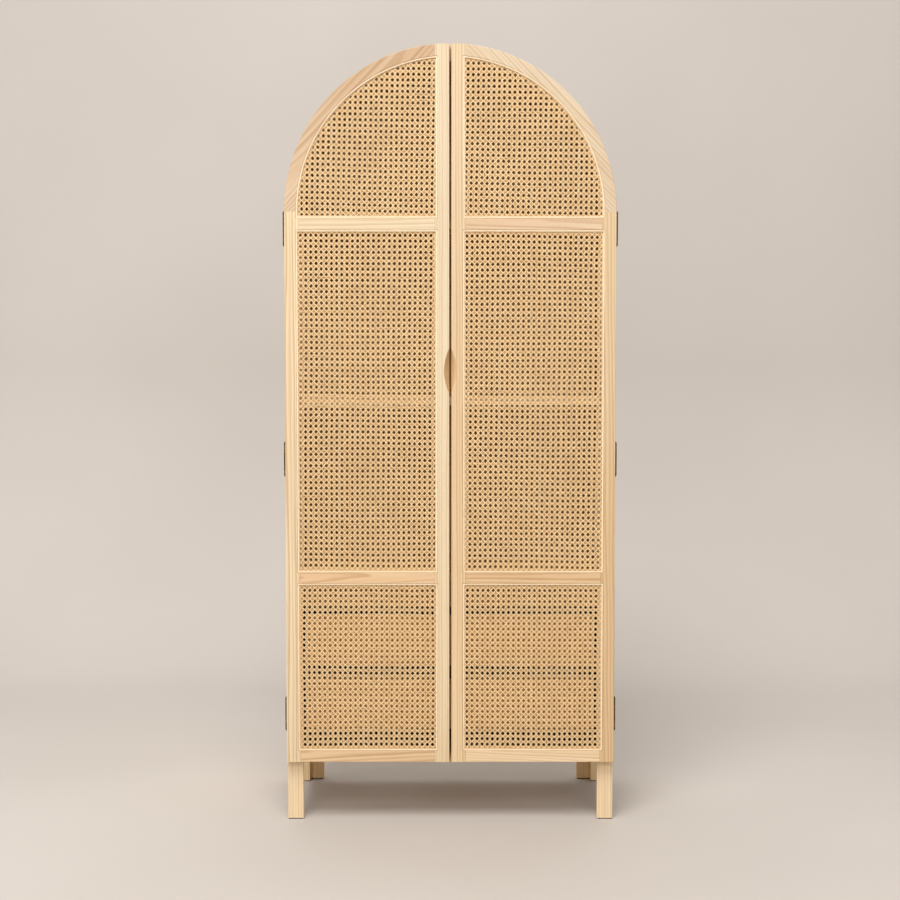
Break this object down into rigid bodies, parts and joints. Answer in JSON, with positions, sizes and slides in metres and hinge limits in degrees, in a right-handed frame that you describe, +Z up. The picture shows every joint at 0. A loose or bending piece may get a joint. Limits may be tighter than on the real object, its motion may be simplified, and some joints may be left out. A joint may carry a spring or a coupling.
{
  "type": "wardrobe",
  "caption": "Free-standing arch-topped wardrobe in pale wood, with side-hinged cane-panelled doors, a scooped finger pull, inner shelves and drawers, on straight legs.",
  "frame": {"origin": "on the floor, under the middle of the wardrobe's box", "axes": "+Z up, the doors face -Y, +X to the right of someone who looks at the doors"},
  "size_m": [0.791, 0.405, 1.84],
  "materials": {
    "pale_ash": "clear matt lacquer over pale ash",
    "ash_veneer": "matt lacquer over ash veneer",
    "drawer_wood": "bare sanded wood",
    "cane_webbing": "natural woven cane, slight gloss on the bark side",
    "cane_spline": "pale reed",
    "antique_brass": "dark antique brass",
    "dark_glide": "moulded matt",
    "zinc_steel": "zinc plated",
    "catch_plastic": "moulded matt brown"
  },
  "bodies": {
    "carcass": {"apron_rail": "pale_ash", "arch_top_panel": "ash_veneer", "back_panel": "ash_veneer", "bottom_board": "ash_veneer", "drawer_runners": "drawer_wood", "foot_glides": "dark_glide", "front_arch_rib": "pale_ash", "front_left_post": "pale_ash", "front_right_post": "pale_ash", "hinge_pins": "antique_brass", "hinge_post_screws": "antique_brass", "left_hinge_post_leaves": "antique_brass", "left_side_panel": "ash_veneer", "lower_drawer_bottom": "ash_veneer", "lower_drawer_front": "drawer_wood", "lower_drawer_walls": "drawer_wood", "lower_shelf": "ash_veneer", "magnetic_catches": "catch_plastic", "middle_shelf": "ash_veneer", "rear_arch_rib": "pale_ash", "rear_left_post": "pale_ash", "rear_right_post": "pale_ash", "rib_dowels": "drawer_wood", "right_hinge_post_leaves": "antique_brass", "right_side_panel": "ash_veneer", "top_shelf": "ash_veneer", "upper_drawer_bottom": "ash_veneer", "upper_drawer_front": "drawer_wood", "upper_drawer_walls": "drawer_wood"},
    "left_door": {"left_arch_rail": "pale_ash", "left_bottom_rail": "pale_ash", "left_hinge_door_leaves": "antique_brass", "left_hinge_door_screws": "antique_brass", "left_hinge_stile": "pale_ash", "left_lower_cane": "cane_webbing", "left_lower_spline": "cane_spline", "left_meeting_stile": "pale_ash", "left_middle_cane": "cane_webbing", "left_middle_rail": "pale_ash", "left_middle_spline": "cane_spline", "left_strike_plate": "zinc_steel", "left_upper_cane": "cane_webbing", "left_upper_rail": "pale_ash", "left_upper_spline": "cane_spline"},
    "right_door": {"right_arch_rail": "pale_ash", "right_bottom_rail": "pale_ash", "right_hinge_door_leaves": "antique_brass", "right_hinge_door_screws": "antique_brass", "right_hinge_stile": "pale_ash", "right_lower_cane": "cane_webbing", "right_lower_spline": "cane_spline", "right_meeting_stile": "pale_ash", "right_middle_cane": "cane_webbing", "right_middle_rail": "pale_ash", "right_middle_spline": "cane_spline", "right_strike_plate": "zinc_steel", "right_upper_cane": "cane_webbing", "right_upper_rail": "pale_ash", "right_upper_spline": "cane_spline"}
  },
  "joints": [
    {"name": "left_door_swing", "type": "hinge", "parent": "carcass", "child": "left_door", "pos_m": [-0.3929, -0.1795, 0.868], "axis": [0, 0, -1], "range_deg": [0, 180]},
    {"name": "right_door_swing", "type": "hinge", "parent": "carcass", "child": "right_door", "pos_m": [0.3929, -0.1795, 0.868], "axis": [0, 0, 1], "range_deg": [0, 180]}
  ]
}
